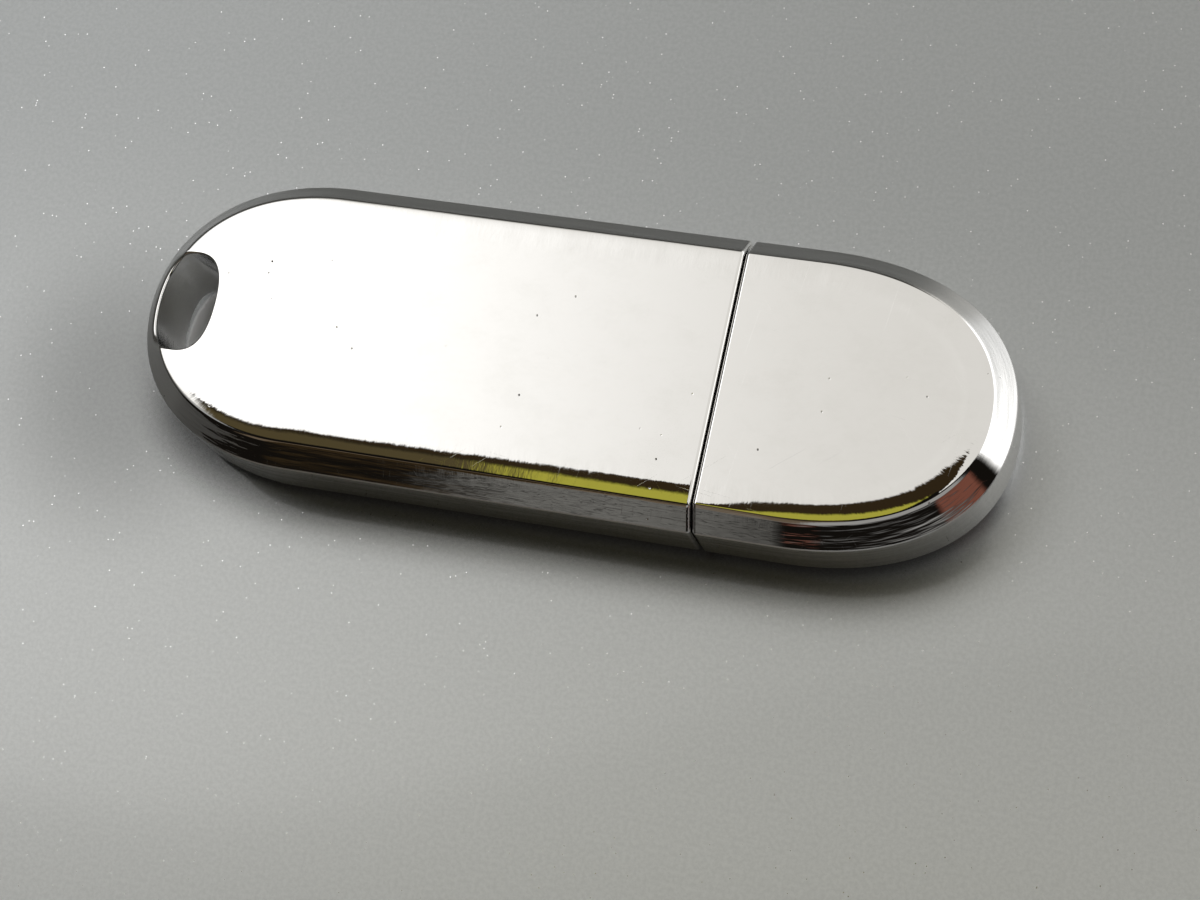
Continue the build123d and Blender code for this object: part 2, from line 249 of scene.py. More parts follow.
def make_mesh(name, patches):
    """Welds patches into one mesh that keeps each patch's own smooth normals."""
    points = np.concatenate([p for p, _, _ in patches])
    normals = np.concatenate([n for _, n, _ in patches])
    normals = normals / np.maximum(np.linalg.norm(normals, axis=1, keepdims=True), 1e-12)
    faces, offset = [], 0
    for patch_points, _, patch_faces in patches:
        faces += [tuple(i + offset for i in face) for face in patch_faces]
        offset += len(patch_points)
    tree = KDTree(len(points))
    for i, point in enumerate(points):
        tree.insert(point, i)
    tree.balance()
    first = np.full(len(points), -1)
    kept = []
    for i, point in enumerate(points):
        if first[i] < 0:
            for _, j, _ in tree.find_range(point, weld_distance):
                if first[j] < 0:
                    first[j] = len(kept)
            kept.append(point)
    welded, loop_normals = [], []
    for face in faces:
        corners = []
        for i in face:
            if first[i] not in [first[j] for j in corners]:
                corners.append(i)
        if len(corners) < 3:
            continue
        ring = [points[i] for i in corners]
        across = np.cross(ring[1] - ring[0], ring[2] - ring[0])
        if len(ring) == 4:
            across = np.cross(ring[2] - ring[0], ring[3] - ring[1])
        if np.linalg.norm(across) < 1e-14:
            continue
        if np.dot(across, sum(normals[i] for i in corners)) < 0:
            corners.reverse()
        welded.append([int(first[i]) for i in corners])
        loop_normals += [tuple(normals[i]) for i in corners]
    mesh = bpy.data.meshes.new(name)
    mesh.from_pydata([tuple(p) for p in kept], [], welded)
    mesh.polygons.foreach_set("use_smooth", [True] * len(mesh.polygons))
    mesh.normals_split_custom_set(loop_normals)
    mesh.update()
    return mesh


# --- sections of the shells -------------------------------------------------------------------
def side_profile(shrink, rounded=True):
    """Insets, heights and tilts from the bevel, over its outer edge, down to mid height."""
    crease, edge_z = shrunk(shrink)
    radius = edge_radius if rounded else 0.02 * mm
    trim = radius * math.tan((math.pi / 2 - bevel_tilt) / 2)
    rows = [(shrink + side_start, edge_z + side_start * bevel_height / bevel_inset, bevel_tilt)]
    centre = (shrink + radius, edge_z - trim)
    for tilt in np.linspace(bevel_tilt, math.pi / 2, 9):
        rows.append((centre[0] - radius * math.sin(tilt), centre[1] + radius * math.cos(tilt), tilt))
    rows.append((shrink, mid_z, math.pi / 2))
    return np.array(rows)


def full_side_profile(shrink, rounded=True):
    """The side profile and its mirror image below mid height."""
    upper = side_profile(shrink, rounded)
    lower = upper[-2::-1].copy()
    lower[:, 1] = thickness - lower[:, 1]
    lower[:, 2] = math.pi - lower[:, 2]
    return np.concatenate([upper, lower])


def outline_columns(shell, inset, straight_steps, end_steps, start, stop=None):
    """Plan points and outward slopes along one side's outline, from start to the tip or stop."""
    a = list(np.linspace(start, shell.straight, straight_steps + 1)[:-1])
    bend = [(0.0, 1.0, 1.0, 0.0)] * len(a)
    y = [half_width - inset] * len(a)
    t_end = 1.0
    if stop is not None:
        t = np.linspace(0, 1, 4001)
        reach = shell.straight + (shell.end_length - inset) * rounded_end(shell.fullness, t)[0]
        t_end = float(np.interp(stop, reach, t))
    for t in np.linspace(0, t_end, end_steps + 1):
        along, across = rounded_end(shell.fullness, t)
        slope_along, slope_across = rounded_end_slope(shell.fullness, t)
        a.append(shell.straight + (shell.end_length - inset) * along)
        y.append((half_width - inset) * across)
        slopes = ((shell.end_length - inset) * slope_along, (half_width - inset) * slope_across)
        bend.append((along, across, *slopes))
    return np.array(a), np.array(y), np.array(bend)


straight_steps = 18
end_steps = 60
flat_shares = np.linspace(-1, 1, 15)[1:-1]


def roll_stations(shell, shrink=0.0):
    """Insets of the rings over the bevel's inner part, the crease and the rolled edge."""
    crease, _ = shrunk(shrink)
    near = np.array([-0.6, -0.25, -0.14, -0.09, -0.06, -0.035, -0.015, 0.005, 0.025, 0.05, 0.09, 0.15])
    outward = np.array([0.2, 0.35, 0.5, 0.65, 0.8, 0.9, 1.0])
    return crease + np.concatenate([near * mm, outward * shell.roll[1]])


def side_patch(shell, shrink, start, stop, outer):
    """The bevel's outer part, side wall and lower bevel's outer part, round one side and back."""
    points, normals = [], []
    for inset, z, tilt in full_side_profile(shrink, outer):
        a, y, bend = outline_columns(shell, inset, straight_steps, end_steps, start, stop)
        inward = np.stack([-bend[:, 0], -bend[:, 1], np.zeros(len(a))], 1)
        rise = np.array([0, 0, 1.0])
        down_profile = inward * math.cos(tilt) + rise * math.sin(tilt)
        along = np.stack([bend[:, 2], bend[:, 3], np.zeros(len(a))], 1)
        normal = np.cross(down_profile, along)
        outward = np.stack([bend[:, 0], bend[:, 1], np.full(len(a), math.cos(tilt))], 1)
        normal *= np.sign(np.sum(normal * outward, axis=1))[:, None]
        near = np.stack([a, y, np.full(len(a), z)], 1)
        far = near * [1, -1, 1]
        if stop is None:
            points.append(np.concatenate([near, far[-2::-1]]))
            normals.append(np.concatenate([normal, (normal * [1, -1, 1])[-2::-1]]))
        else:
            points.append(np.stack([near, far]))
            normals.append(np.stack([normal, normal * [1, -1, 1]]))
    return np.array(points), np.array(normals)


def flat_line(shell, shrink, a, rolled):
    """Across the top at one distance from the mouth: widths, heights and tilts."""
    insets = np.concatenate([[shrink + side_start], roll_stations(shell, shrink)])
    half_flat = half_width - insets[-1]
    y = np.concatenate([half_width - insets, -flat_shares * half_flat, insets[::-1] - half_width])
    inset = half_width - np.abs(y)
    height = top_height(shell, inset, a, shrink, rolled)
    step = 1e-4 * mm
    slope = (
        top_height(shell, inset + step, a, shrink, rolled)
        - top_height(shell, inset - step, a, shrink, rolled)
    ) / (2 * step)
    return y, height, np.arctan(slope) * np.sign(y)


def section(shell, shrink, a, rolled=True, rounded=True):
    """The shell's whole closed cross-section: widths, heights and outward normals."""
    y, z, tilt = flat_line(shell, shrink, a, rolled)
    side = full_side_profile(shrink, rounded)[1:-1]
    side_y = half_width - side[:, 0]
    loop_y = np.concatenate([y, -side_y, -y, side_y[::-1]])
    loop_z = np.concatenate([z, side[:, 1], thickness - z, side[::-1, 1]])
    normal_y = np.concatenate([np.sin(tilt), -np.sin(side[:, 2]), -np.sin(tilt), np.sin(side[::-1, 2])])
    normal_z = np.concatenate([np.cos(tilt), np.cos(side[:, 2]), -np.cos(tilt), np.cos(side[::-1, 2])])
    return [np.append(part, part[0]) for part in (loop_y, loop_z, normal_y, normal_z)]


def mouth_patches(shell):
    """The rounded outer edge of the mouth, its flat rim and its rounded inner edge."""
    rows, normals = [], []
    for angle in np.linspace(0, math.pi / 2, 8):
        shrink = mouth_radius * (1 - math.cos(angle))
        y, z, ny, nz = section(shell, shrink, mouth_radius)
        a = np.full(len(y), mouth_radius * (1 - math.sin(angle)))
        rows.append(np.stack([a, y, z], 1))
        lean = np.full(len(y), -math.sin(angle))
        normals.append(np.stack([lean, ny * math.cos(angle), nz * math.cos(angle)], 1))
    outer = grid_patch(np.array(rows), np.array(normals))

    rim_rows = [rows[-1]]
    inner_rows, inner_normals = [], []
    for angle in np.linspace(0, math.pi / 2, 5):
        shrink = wall - mouth_inner_radius * (1 - math.sin(angle))
        y, z, ny, nz = section(shell, shrink, 0, rolled=False, rounded=False)
        a = np.full(len(y), mouth_inner_radius * (1 - math.cos(angle)))
        inner_rows.append(np.stack([a, y, z], 1))
        lean = np.full(len(y), -math.cos(angle))
        inner_normals.append(np.stack([lean, -ny * math.sin(angle), -nz * math.sin(angle)], 1))
    rim_rows.append(inner_rows[0])
    rim_rows = np.array(rim_rows)
    rim_normals = np.zeros_like(rim_rows)
    rim_normals[..., 0] = -1
    rim = grid_patch(rim_rows, rim_normals)
    inner = grid_patch(np.array(inner_rows), np.array(inner_normals))
    return [outer, rim, inner]


def flat_patch(shell):
    """The top's bevel, crease, rolled edge and flat, with the key-ring hole cut through."""
    plan, edges = [], []

    def add_line(line, closed=False):
        start = len(plan)
        plan.extend(Vector((float(p[0] / mm), float(p[1] / mm))) for p in line)
        edges.extend((start + k, start + k + 1) for k in range(len(line) - 1))
        if closed:
            edges.append((start + len(line) - 1, start))

    for inset in np.concatenate([[side_start], roll_stations(shell)]):
        a, y, _ = outline_columns(shell, inset, straight_steps, end_steps, mouth_radius)
        near = np.stack([a, y], 1)
        add_line(np.concatenate([near, (near * [1, -1])[-2::-1]]))
    y, _, _ = flat_line(shell, 0, mouth_radius, True)
    add_line(np.stack([np.full(len(y), mouth_radius), y], 1))
    spacing = 1.6 * mm
    for a in np.arange(mouth_radius + spacing, shell.length, spacing):
        for y in np.arange(-5, 6) * spacing * 0.85:
            if shell_inset(shell, a, y) > bevel_inset + shell.roll[1] + 0.3 * mm:
                if shell.hole is None or hole_growth(shell, a, y) > 1.5 * rim_radius + 0.4 * mm:
                    plan.append(Vector((float(a / mm), float(y / mm))))
    if shell.hole is not None:
        t = np.linspace(0, 1, 40)[:-1]
        falling = np.stack(rounded_end(keyring_fullness, t), 1)
        rising = np.stack(rounded_end(keyring_fullness, 1 - t), 1)
        ring = np.concatenate([falling, rising * [1, -1], -falling, rising * [-1, 1]])
        for share in (0, 0.02, 0.07, 0.15, 0.26, 0.4, 0.55, 0.7, 0.85, 1.0):
            base = ring * [keyring_half_x, keyring_half_y] + [shell.hole, 0]
            growth = rim_radius_at(shell, base[:, 0], base[:, 1])[:, None] * share
            grown = ring * (np.array([keyring_half_x, keyring_half_y]) + growth) + [shell.hole, 0]
            add_line(grown, closed=True)
    found, _, triangles, _, _, _ = delaunay_2d_cdt(plan, edges, [], 0, 1e-6)
    flat_points = np.array([tuple(p) for p in found]) * mm
    a, y = flat_points[:, 0], flat_points[:, 1]
    triangles = np.array(triangles)
    if shell.hole is not None:
        centre = flat_points[triangles].mean(1)
        triangles = triangles[hole_growth(shell, centre[:, 0], centre[:, 1]) > 0]
    used = np.zeros(len(flat_points), bool)
    used[triangles.ravel()] = True
    step = 2e-5 * mm
    height = surface_height(shell, a, y)
    slope_a = (surface_height(shell, a + step, y) - surface_height(shell, a - step, y)) / (2 * step)
    slope_y = (surface_height(shell, a, y + step) - surface_height(shell, a, y - step)) / (2 * step)
    normals = np.stack([-slope_a, -slope_y, np.ones(len(a))], 1)
    normals /= np.linalg.norm(normals, axis=1, keepdims=True)
    points = np.stack([a, y, height], 1)
    patches = []
    if shell.hole is not None:
        on_rim = used & (np.abs(hole_growth(shell, a, y)) < weld_distance)
        toward = np.stack([shell.hole - a, -y * (keyring_half_x / keyring_half_y), np.zeros(len(a))], 1)
        toward /= np.linalg.norm(toward, axis=1, keepdims=True)
        normals[on_rim] = toward[on_rim]
        patches.append(hole_wall(shell, points, toward, on_rim, triangles))
    patches.append((points, normals, [tuple(t) for t in triangles]))
    under = points * [1, 1, -1] + [0, 0, thickness]
    patches.append((under, normals * [1, 1, -1], [tuple(t) for t in triangles]))
    return patches


def hole_wall(shell, points, toward, on_rim, triangles):
    """The key-ring hole's straight wall, from the upper rim to the lower one."""
    count = {}
    for triangle in triangles:
        for k in range(3):
            pair = tuple(sorted((int(triangle[k]), int(triangle[(k + 1) % 3]))))
            if on_rim[pair[0]] and on_rim[pair[1]]:
                count[pair] = count.get(pair, 0) + 1
    rows = 9
    column, wall_points, wall_normals, faces = {}, [], [], []
    for pair, uses in count.items():
        if uses != 1:
            continue
        for i in pair:
            if i not in column:
                column[i] = len(wall_points)
                low = thickness - points[i, 2]
                for z in np.linspace(points[i, 2], low, rows):
                    wall_points.append((points[i, 0], points[i, 1], z))
                    wall_normals.append(toward[i])
        first, second = column[pair[0]], column[pair[1]]
        for row in range(rows - 1):
            faces.append((first + row, second + row, second + row + 1, first + row + 1))
    return np.array(wall_points), np.array(wall_normals), faces


def hollow_patches(shell):
    """The hollow's roof, floor, sides and, where it is cut off square, its back wall."""
    patches = []
    sides, side_normals = side_patch(shell, wall, mouth_inner_radius, shell.hollow_length, False)
    if shell.hollow_length is None:
        patches.append(grid_patch(sides, -side_normals))
    else:
        patches.append(grid_patch(sides[:, 0], -side_normals[:, 0]))
        patches.append(grid_patch(sides[:, 1], -side_normals[:, 1]))
    y, z, tilt = flat_line(shell, wall, 0, False)
    crease_inset = roll_stations(shell, wall)[-1]
    points, normals = [], []
    for width, height, lean in zip(y, z, tilt):
        inset = min(half_width - abs(width), crease_inset)
        a, across, _ = outline_columns(
            shell, inset, straight_steps, end_steps, mouth_inner_radius, shell.hollow_length
        )
        share = width / (half_width - inset)
        points.append(np.stack([a, across * share, np.full(len(a), height)], 1))
        flat = np.zeros((len(a), 3))
        flat[:, 1] = -math.sin(lean)
        flat[:, 2] = -math.cos(lean)
        normals.append(flat)
    roof, roof_normals = np.array(points), np.array(normals)
    patches.append(grid_patch(roof, roof_normals))
    patches.append(grid_patch(roof * [1, 1, -1] + [0, 0, thickness], roof_normals * [1, 1, -1]))
    if shell.hollow_length is not None:
        patches.append(back_wall(shell, roof[:, -1], sides[:, 0, -1]))
    return patches


def back_wall(shell, roof_edge, side_edge):
    """Closes the hollow's square end with rows from its roof down to its floor."""
    shares = roof_edge[:, 1] / roof_edge[0, 1]
    rows = [roof_edge]
    ones = np.ones(len(shares))
    for x, y, z in side_edge[1:-1]:
        rows.append(np.stack([x * ones, y * shares, z * ones], 1))
    rows.append(roof_edge * [1, 1, -1] + [0, 0, thickness])
    rows = np.array(rows)
    normals = np.zeros_like(rows)
    normals[..., 0] = -1
    return grid_patch(rows, normals)


def edge_coordinates(shell, points):
    """For each point: how far round the outline from the mouth it is, and how far in."""
    a, y = points[:, 0], points[:, 1]
    inset = shell_inset(shell, a, y)
    past = np.maximum(a - shell.straight, 0) / shell.end_length
    turned = np.arctan2(past, np.maximum(np.abs(y) / half_width, 1e-6))
    bend = half_width * 1.1
    around = np.minimum(a, shell.straight) + turned * bend
    whole = 2 * (shell.straight + bend * math.pi / 2)
    return np.where(y < 0, whole - around, around), inset


def build_shell(shell, cad_node, material):
    patches = [grid_patch(*side_patch(shell, 0, mouth_radius, None, True))]
    patches += flat_patch(shell)
    patches += mouth_patches(shell)
    patches += hollow_patches(shell)
    placed = [(shell.place(p), shell.turn(n), f) for p, n, f in patches]
    piece = bpy.data.objects.new(shell.name, make_mesh(shell.name, placed))
    flat_coordinates = np.empty(len(piece.data.vertices) * 3)
    piece.data.vertices.foreach_get("co", flat_coordinates)
    own = flat_coordinates.reshape(-1, 3)
    own[:, 0] = (own[:, 0] - shell.mouth_x) * shell.direction
    around, inset = edge_coordinates(shell, own)
    for name, values in (("around", around), ("inset", inset)):
        attribute = piece.data.attributes.new(name, "FLOAT", "POINT")
        attribute.data.foreach_set("value", values.astype(np.float32))
    bpy.context.scene.collection.objects.link(piece)
    piece.data.materials.append(material)
    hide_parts(cad_node)
    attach(piece, shell.body)
    return piece


# --- materials --------------------------------------------------------------------------------
def add_node(tree, kind, inputs=None, **settings):
    node = tree.nodes.new(kind)
    for key, value in settings.items():
        setattr(node, key, value)
    for key, value in (inputs or {}).items():
        socket = node.inputs[key]
        if isinstance(value, bpy.types.NodeSocket):
            tree.links.new(value, socket)
        else:
            socket.default_value = value
    return node


def part_of(tree, vector, axis):
    return add_node(tree, "ShaderNodeSeparateXYZ", {0: vector}).outputs[axis]


def math_node(tree, operation, first, second=0.0):
    return add_node(tree, "ShaderNodeMath", {0: first, 1: second}, operation=operation).outputs[0]


def times(tree, first, second):
    return math_node(tree, "MULTIPLY", first, second)


def minus(tree, first, second):
    return math_node(tree, "SUBTRACT", first, second)


def plus(tree, first, second):
    return math_node(tree, "ADD", first, second)


def mix(tree, share, first, second):
    """First where share is 0, second where it is 1. Takes colours or sockets."""
    node = tree.nodes.new("ShaderNodeMix")
    node.data_type = "RGBA"
    for socket, value in ((node.inputs[0], share), (node.inputs[6], first), (node.inputs[7], second)):
        if isinstance(value, bpy.types.NodeSocket):
            tree.links.new(value, socket)
        else:
            socket.default_value = value if isinstance(value, (int, float)) else (*value, 1)
    return node.outputs[2]


def ramp(tree, value, start, stop, low=0.0, high=1.0):
    """Low below start, high above stop, smooth between them."""
    node = add_node(
        tree, "ShaderNodeMapRange",
        {0: value, 1: start, 2: stop, 3: low, 4: high},
        interpolation_type="SMOOTHSTEP",
    )
    return node.outputs[0]


def between(tree, value, start, stop, soft):
    """1 between start and stop, fading to 0 over soft outside them."""
    rise = ramp(tree, value, start - soft, start)
    fall = ramp(tree, value, stop, stop + soft, 1.0, 0.0)
    return times(tree, rise, fall)


def own_coordinates(tree):
    """The piece's own coordinates, in millimetres."""
    source = tree.nodes.new("ShaderNodeTexCoord").outputs["Object"]
    return add_node(
        tree, "ShaderNodeVectorMath", {0: source, 1: (1000, 1000, 1000)}, operation="MULTIPLY"
    ).outputs[0]


def new_material(name):
    """A material, its node tree, its surface and the piece's own coordinates."""
    material = bpy.data.materials.new(name)
    material.use_nodes = True
    tree = material.node_tree
    return material, tree, tree.nodes["Principled BSDF"], own_coordinates(tree)


def stretched(tree, place, sizes, turn=0.0):
    """Coordinates in which one unit is sizes millimetres, turned about Z by turn degrees."""
    turned = add_node(
        tree, "ShaderNodeVectorRotate",
        {"Vector": place, "Angle": math.radians(turn)},
        rotation_type="Z_AXIS",
    ).outputs[0]
    return add_node(
        tree, "ShaderNodeVectorMath", {0: turned, 1: [1 / size for size in sizes]}, operation="MULTIPLY"
    ).outputs[0]


def noise(tree, place, sizes, detail=2.0, roughness=0.5, turn=0.0):
    """Cloudy noise whose spots are sizes millimetres, turned about Z by turn degrees."""
    spread = stretched(tree, place, sizes, turn)
    return add_node(
        tree, "ShaderNodeTexNoise",
        {"Vector": spread, "Scale": 1.0, "Detail": detail, "Roughness": roughness},
    ).outputs[0]


def pits(tree, place, spacing, radius, share):
    """1 in the middle of sparse round pits, falling to 0 at their radius (millimetres)."""
    cells = add_node(
        tree, "ShaderNodeTexVoronoi", {"Vector": stretched(tree, place, (spacing,) * 3), "Scale": 1.0}
    )
    depth = ramp(tree, cells.outputs["Distance"], 0.0, radius / spacing, 1.0, 0.0)
    picked = add_node(tree, "ShaderNodeSeparateColor", {0: cells.outputs["Color"]}).outputs[0]
    kept = math_node(tree, "LESS_THAN", picked, share)
    return times(tree, depth, kept)


def scratches(tree, place, turns, length, width, amount):
    """Fine straight scratches in several directions; a higher amount gives more of them."""
    total = None
    for turn in turns:
        line = noise(tree, place, (length, width, width * 40), 1.0, turn=turn)
        patch = noise(tree, place, (7.0, 7.0, 7.0), 0.0, turn=turn + 40)
        line = ramp(tree, line, 0.80 - amount, 0.86 - amount)
        line = times(tree, line, ramp(tree, patch, 0.48, 0.66))
        total = line if total is None else math_node(tree, "MAXIMUM", total, line)
    return total


def bump(tree, height, distance, normal=None, strength=1.0):
    """A bump whose height of 1 stands for distance millimetres."""
    inputs = {"Height": height, "Distance": distance * mm, "Strength": strength}
    if normal is not None:
        inputs["Normal"] = normal
    return add_node(tree, "ShaderNodeBump", inputs).outputs[0]


def attribute_mm(tree, name):
    value = add_node(tree, "ShaderNodeAttribute", attribute_name=name).outputs["Fac"]
    return times(tree, value, 1000.0)


def chrome():
    """Mirror chrome over a hand-polished casting: ripples at the edges, hairlines and pits."""
    material, tree, surface, place = new_material("chrome_plate")
    around = attribute_mm(tree, "around")
    inset = attribute_mm(tree, "inset")
    z = part_of(tree, place, 2)

    # Polishing ripples square to the edge, only on the rolled edge of the flats.
    across = add_node(tree, "ShaderNodeCombineXYZ", {0: around, 1: inset, 2: z}).outputs[0]
    ripples = noise(tree, across, (0.9, 2.6, 8.0), 4.0, 0.6)
    broad = noise(tree, across, (3.6, 4.0, 8.0), 1.0)
    edge_share = between(tree, inset, 1.5, 2.6, 1.0)
    normal = bump(tree, times(tree, ripples, edge_share), 0.0058)
    normal = bump(tree, times(tree, broad, edge_share), 0.02, normal)

    # Drawn-out streaks along the bevels and the side wall.
    fine = noise(tree, across, (5.0, 0.16, 0.2), 3.0, 0.6)
    coarse = noise(tree, across, (7.0, 0.75, 0.95), 3.0, 0.55)
    bevel_share = between(tree, inset, -0.2, 1.25, 0.2)
    normal = bump(tree, times(tree, fine, bevel_share), 0.0010, normal)
    normal = bump(tree, times(tree, coarse, bevel_share), 0.034, normal)

    # The flats are true to within a fraction of a degree.
    waves = noise(tree, place, (6.0, 4.0, 6.0), 1.0)
    normal = bump(tree, waves, 0.0015, normal)

    lines = scratches(tree, place, (8, 52, 97, 141), 9.0, 0.035, 0.06)
    normal = bump(tree, lines, -0.0006, normal)
    cluster = ramp(tree, noise(tree, place, (4.0, 4.0, 4.0), 1.0), 0.5, 0.6)
    holes = times(tree, pits(tree, place, 0.7, 0.085, 0.14), cluster)
    holes = math_node(tree, "MAXIMUM", holes, pits(tree, place, 1.9, 0.10, 0.12))
    normal = bump(tree, holes, -0.03, normal)

    smudge = noise(tree, place, (4.5, 3.0, 4.0), 5.0, 0.7)
    rough = ramp(tree, smudge, 0.35, 0.75, 0.015, 0.05)
    rough = plus(tree, rough, times(tree, lines, 0.10))
    rough = plus(tree, rough, times(tree, holes, 0.25))
    tint = mix(tree, ramp(tree, smudge, 0.4, 0.8), (0.90, 0.89, 0.875), (0.86, 0.85, 0.83))
    tint = mix(tree, holes, tint, (0.16, 0.15, 0.13))

    # Inside the castings and the key-ring hole the plating is thin, over unpolished metal: rougher and
    # grainier, and greyer in colour, which is partly the raw metal's own and partly painted shade in
    # these recesses.
    slope = times(tree, inset, bevel_height / bevel_inset)
    outer = math_node(tree, "MINIMUM", slope, bevel_height / mm)
    outer = plus(tree, outer, (thickness / 2 - bevel_height) / mm)
    from_middle = math_node(tree, "ABSOLUTE", minus(tree, z, mid_z / mm))
    inner = ramp(tree, minus(tree, outer, from_middle), 0.30, 0.50)
    inner = times(tree, inner, ramp(tree, inset, 0.35, 0.65))
    cast = noise(tree, place, (0.25, 0.25, 0.25), 4.0, 0.65)
    # The greyer inside colour is partly painted shade.
    tint = mix(tree, inner, tint, mix(tree, cast, (0.76, 0.77, 0.78), (0.90, 0.91, 0.92)))
    rough = plus(tree, rough, times(tree, inner, 0.08))
    normal = bump(tree, times(tree, cast, inner), 0.008, normal)
    tree.links.new(tint, surface.inputs["Base Color"])
    tree.links.new(rough, surface.inputs["Roughness"])
    tree.links.new(normal, surface.inputs["Normal"])
    surface.inputs["Metallic"].default_value = 1
    return material


def soft_edges(tree, radius):
    """Normals that round the piece's sharp edges off, in millimetres."""
    return add_node(tree, "ShaderNodeBevel", {"Radius": radius * mm}, samples=4).outputs[0]


def share_along(tree, axis):
    """0 at one end of the piece and 1 at the other, along axis 0, 1 or 2."""
    source = tree.nodes.new("ShaderNodeTexCoord").outputs["Generated"]
    return part_of(tree, source, axis)


def give(surface, tree, colour, rough, normal, metallic=0.0):
    """Links a finish into a material's surface. Each value is a socket or a number."""
    pairs = (("Base Color", colour), ("Roughness", rough), ("Normal", normal), ("Metallic", metallic))
    for name, value in pairs:
        if isinstance(value, bpy.types.NodeSocket):
            tree.links.new(value, surface.inputs[name])
        else:
            surface.inputs[name].default_value = value


def moulded_plastic(name, dark, light, rough):
    """Spark-eroded satin moulding with rubbed, slightly shinier spots and dust in its grain."""
    material, tree, surface, place = new_material(name)
    grain = noise(tree, place, (0.13,) * 3, 3.0, 0.65)
    blotch = noise(tree, place, (3.0, 2.2, 2.2), 4.0, 0.6)
    rubbed = ramp(tree, blotch, 0.48, 0.72)
    drag = scratches(tree, place, (0, 5, 174), 5.0, 0.05, 0.08)
    normal = bump(tree, grain, 0.006, soft_edges(tree, 0.07))
    normal = bump(tree, drag, -0.001, normal)
    colour = mix(tree, grain, dark, light)
    dust = pits(tree, place, 0.5, 0.035, 0.25)
    colour = mix(tree, times(tree, dust, 0.5), colour, (0.22, 0.21, 0.20))
    colour = mix(tree, times(tree, drag, 0.4), colour, (0.12, 0.12, 0.12))
    sheen = times(tree, rubbed, -0.14)
    give(surface, tree, colour, plus(tree, sheen, rough), normal)
    return material


def plug_steel():
    """Nickel-plated stamped sheet: drawn grain along the plug and rub marks from sockets."""
    material, tree, surface, place = new_material("plug_steel")
    drawn = noise(tree, place, (6.0, 0.05, 0.05), 4.0, 0.65)
    haze = noise(tree, place, (4.0, 2.5, 2.5), 4.0, 0.6)
    rubs = scratches(tree, place, (0, 2, 177), 7.0, 0.045, 0.12)
    ends = noise(tree, place, (0.22, 0.22, 0.22), 2.0)
    normal = bump(tree, drawn, 0.0012, soft_edges(tree, 0.06))
    normal = bump(tree, rubs, -0.0012, normal)
    normal = bump(tree, ends, 0.0012, normal)
    colour = mix(tree, haze, (0.60, 0.60, 0.595), (0.72, 0.72, 0.715))
    colour = mix(tree, rubs, colour, (0.83, 0.82, 0.80))
    specks = pits(tree, place, 0.9, 0.05, 0.12)
    colour = mix(tree, specks, colour, (0.22, 0.19, 0.16))
    rough = ramp(tree, haze, 0.3, 0.7, 0.17, 0.30)
    rough = plus(tree, rough, times(tree, drawn, 0.06))
    give(surface, tree, colour, rough, normal, 1.0)
    return material


def contact_gold():
    """Thin gold plate with a paler, finely scored path where socket springs wipe it."""
    material, tree, surface, place = new_material("contact_gold")
    drawn = noise(tree, place, (3.0, 0.03, 0.05), 3.0, 0.6)
    haze = noise(tree, place, (1.6, 0.7, 0.7), 3.0)
    wiped = between(tree, share_along(tree, 1), 0.36, 0.62, 0.10)
    wiped = times(tree, wiped, between(tree, share_along(tree, 0), 0.62, 0.95, 0.04))
    wiped = times(tree, wiped, ramp(tree, drawn, 0.35, 0.6))
    normal = bump(tree, drawn, 0.0012, soft_edges(tree, 0.03))
    colour = mix(tree, haze, (0.80, 0.57, 0.20), (0.90, 0.70, 0.33))
    colour = mix(tree, wiped, colour, (0.93, 0.82, 0.58))
    rough = ramp(tree, haze, 0.3, 0.7, 0.16, 0.27)
    rough = plus(tree, rough, times(tree, wiped, 0.10))
    give(surface, tree, colour, rough, normal, 1.0)
    return material


def board_laminate():
    """Green solder mask over copper tracks and vias, with bare glass laminate at the edges."""
    material, tree, surface, place = new_material("board_laminate")
    cells = add_node(
        tree, "ShaderNodeTexVoronoi",
        {"Vector": stretched(tree, place, (1.5, 1.1, 40.0)), "Scale": 1.0, "Randomness": 0.55},
        distance="CHEBYCHEV", feature="F1",
    ).outputs["Distance"]
    tracks = between(tree, cells, 0.34, 0.42, 0.03)
    vias = pits(tree, place, 1.9, 0.16, 0.5)
    copper = math_node(tree, "MAXIMUM", tracks, ramp(tree, vias, 0.1, 0.3))
    weave = noise(tree, place, (0.5, 0.14, 0.3), 2.0)
    cloud = noise(tree, place, (4.0, 3.0, 3.0), 3.0)
    mask_green = mix(tree, cloud, (0.012, 0.105, 0.035), (0.020, 0.145, 0.055))
    colour = mix(tree, copper, mask_green, (0.055, 0.26, 0.10))
    facing = part_of(tree, tree.nodes.new("ShaderNodeNewGeometry").outputs["Normal"], 2)
    edge = ramp(tree, math_node(tree, "ABSOLUTE", facing), 0.3, 0.7, 1.0, 0.0)
    laminate = mix(tree, weave, (0.34, 0.31, 0.16), (0.46, 0.43, 0.26))
    colour = mix(tree, edge, colour, laminate)
    normal = bump(tree, copper, 0.03, soft_edges(tree, 0.04))
    normal = bump(tree, weave, 0.003, normal)
    rough = plus(tree, ramp(tree, cloud, 0.3, 0.7, 0.24, 0.36), times(tree, edge, 0.4))
    give(surface, tree, colour, rough, normal)
    return material


